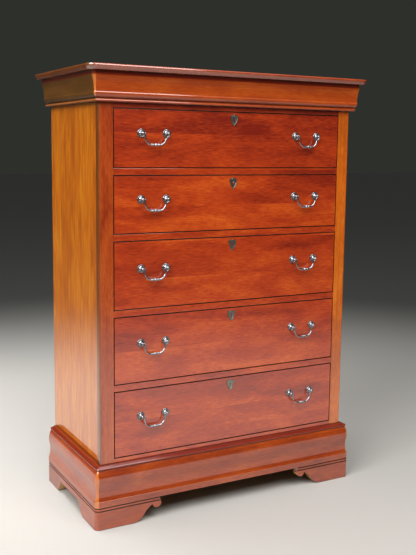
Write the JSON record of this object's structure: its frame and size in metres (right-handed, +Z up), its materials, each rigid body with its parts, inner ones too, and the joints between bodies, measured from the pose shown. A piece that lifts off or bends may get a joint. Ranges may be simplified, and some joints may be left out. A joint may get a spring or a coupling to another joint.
{
  "type": "tall chest of drawers",
  "caption": "Tall wooden chest with flush drawers that slide out on runners, swinging bail pulls, shield escutcheons, a stepped cornice, an ogee base and bracket feet.",
  "frame": {"origin": "on the floor, under the middle of the top panel's outline", "axes": "+Z up; +X to the right of someone facing the drawers; the drawers open towards -Y"},
  "size_m": [0.906, 0.443, 1.2585],
  "materials": {
    "cherry_case": "satin lacquer",
    "cherry_front": "satin lacquer",
    "secondary_wood": "unfinished",
    "plywood": "unfinished",
    "aged_pewter": "aged plating",
    "dark_pewter": "aged plating"
  },
  "bodies": {
    "carcass": {"top_panel": "cherry_case", "top_cleats": "secondary_wood", "cornice_front": "cherry_case", "cornice_left": "cherry_case", "cornice_right": "cherry_case", "side_panel_left": "cherry_case", "side_panel_right": "cherry_case", "stile_left": "cherry_case", "stile_right": "cherry_case", "top_rail": "cherry_case", "divider_rails": "cherry_case", "base_rail": "secondary_wood", "dust_panel": "plywood", "back_panel": "plywood", "rear_rails": "secondary_wood", "drawer_runners": "secondary_wood", "drawer_stops": "secondary_wood", "base_moulding_front": "cherry_case", "base_moulding_left": "cherry_case", "base_moulding_right": "cherry_case", "foot_front_left": "cherry_case", "foot_front_right": "cherry_case", "side_bracket_left": "cherry_case", "side_bracket_right": "cherry_case", "foot_blocks": "secondary_wood"},
    "drawer_1": {"drawer_1_front": "cherry_front", "drawer_1_box": "secondary_wood", "drawer_1_bottom": "plywood", "drawer_1_pull_posts": "aged_pewter", "drawer_1_escutcheon": "dark_pewter"},
    "bail_1_left": {"bail_1_left": "aged_pewter"},
    "bail_1_right": {"bail_1_right": "aged_pewter"},
    "drawer_2": {"drawer_2_front": "cherry_front", "drawer_2_box": "secondary_wood", "drawer_2_bottom": "plywood", "drawer_2_pull_posts": "aged_pewter", "drawer_2_escutcheon": "dark_pewter"},
    "bail_2_left": {"bail_2_left": "aged_pewter"},
    "bail_2_right": {"bail_2_right": "aged_pewter"},
    "drawer_3": {"drawer_3_front": "cherry_front", "drawer_3_box": "secondary_wood", "drawer_3_bottom": "plywood", "drawer_3_pull_posts": "aged_pewter", "drawer_3_escutcheon": "dark_pewter"},
    "bail_3_left": {"bail_3_left": "aged_pewter"},
    "bail_3_right": {"bail_3_right": "aged_pewter"},
    "drawer_4": {"drawer_4_front": "cherry_front", "drawer_4_box": "secondary_wood", "drawer_4_bottom": "plywood", "drawer_4_pull_posts": "aged_pewter", "drawer_4_escutcheon": "dark_pewter"},
    "bail_4_left": {"bail_4_left": "aged_pewter"},
    "bail_4_right": {"bail_4_right": "aged_pewter"},
    "drawer_5": {"drawer_5_front": "cherry_front", "drawer_5_box": "secondary_wood", "drawer_5_bottom": "plywood", "drawer_5_pull_posts": "aged_pewter", "drawer_5_escutcheon": "dark_pewter"},
    "bail_5_left": {"bail_5_left": "aged_pewter"},
    "bail_5_right": {"bail_5_right": "aged_pewter"}
  },
  "joints": [
    {"name": "drawer_1_slide", "type": "slide", "parent": "carcass", "child": "drawer_1", "axis": [0, -1, 0], "range_m": [0, 0.29]},
    {"name": "bail_1_left_swing", "type": "hinge", "parent": "drawer_1", "child": "bail_1_left", "pos_m": [-0.25, -0.191, 1.0851], "axis": [-1, 0, 0], "range_deg": [-13.5, 193.5]},
    {"name": "bail_1_right_swing", "type": "hinge", "parent": "drawer_1", "child": "bail_1_right", "pos_m": [0.25, -0.191, 1.0851], "axis": [-1, 0, 0], "range_deg": [-13.5, 193.5]},
    {"name": "drawer_2_slide", "type": "slide", "parent": "carcass", "child": "drawer_2", "axis": [0, -1, 0], "range_m": [0, 0.29]},
    {"name": "bail_2_left_swing", "type": "hinge", "parent": "drawer_2", "child": "bail_2_left", "pos_m": [-0.25, -0.191, 0.9076], "axis": [-1, 0, 0], "range_deg": [-13.5, 193.5]},
    {"name": "bail_2_right_swing", "type": "hinge", "parent": "drawer_2", "child": "bail_2_right", "pos_m": [0.25, -0.191, 0.9076], "axis": [-1, 0, 0], "range_deg": [-13.5, 193.5]},
    {"name": "drawer_3_slide", "type": "slide", "parent": "carcass", "child": "drawer_3", "axis": [0, -1, 0], "range_m": [0, 0.29]},
    {"name": "bail_3_left_swing", "type": "hinge", "parent": "drawer_3", "child": "bail_3_left", "pos_m": [-0.25, -0.191, 0.7176], "axis": [-1, 0, 0], "range_deg": [-13.5, 193.5]},
    {"name": "bail_3_right_swing", "type": "hinge", "parent": "drawer_3", "child": "bail_3_right", "pos_m": [0.25, -0.191, 0.7176], "axis": [-1, 0, 0], "range_deg": [-13.5, 193.5]},
    {"name": "drawer_4_slide", "type": "slide", "parent": "carcass", "child": "drawer_4", "axis": [0, -1, 0], "range_m": [0, 0.29]},
    {"name": "bail_4_left_swing", "type": "hinge", "parent": "drawer_4", "child": "bail_4_left", "pos_m": [-0.25, -0.191, 0.5096], "axis": [-1, 0, 0], "range_deg": [-13.5, 193.5]},
    {"name": "bail_4_right_swing", "type": "hinge", "parent": "drawer_4", "child": "bail_4_right", "pos_m": [0.25, -0.191, 0.5096], "axis": [-1, 0, 0], "range_deg": [-13.5, 193.5]},
    {"name": "drawer_5_slide", "type": "slide", "parent": "carcass", "child": "drawer_5", "axis": [0, -1, 0], "range_m": [0, 0.29]},
    {"name": "bail_5_left_swing", "type": "hinge", "parent": "drawer_5", "child": "bail_5_left", "pos_m": [-0.25, -0.191, 0.3016], "axis": [-1, 0, 0], "range_deg": [-13.5, 193.5]},
    {"name": "bail_5_right_swing", "type": "hinge", "parent": "drawer_5", "child": "bail_5_right", "pos_m": [0.25, -0.191, 0.3016], "axis": [-1, 0, 0], "range_deg": [-13.5, 193.5]}
  ]
}
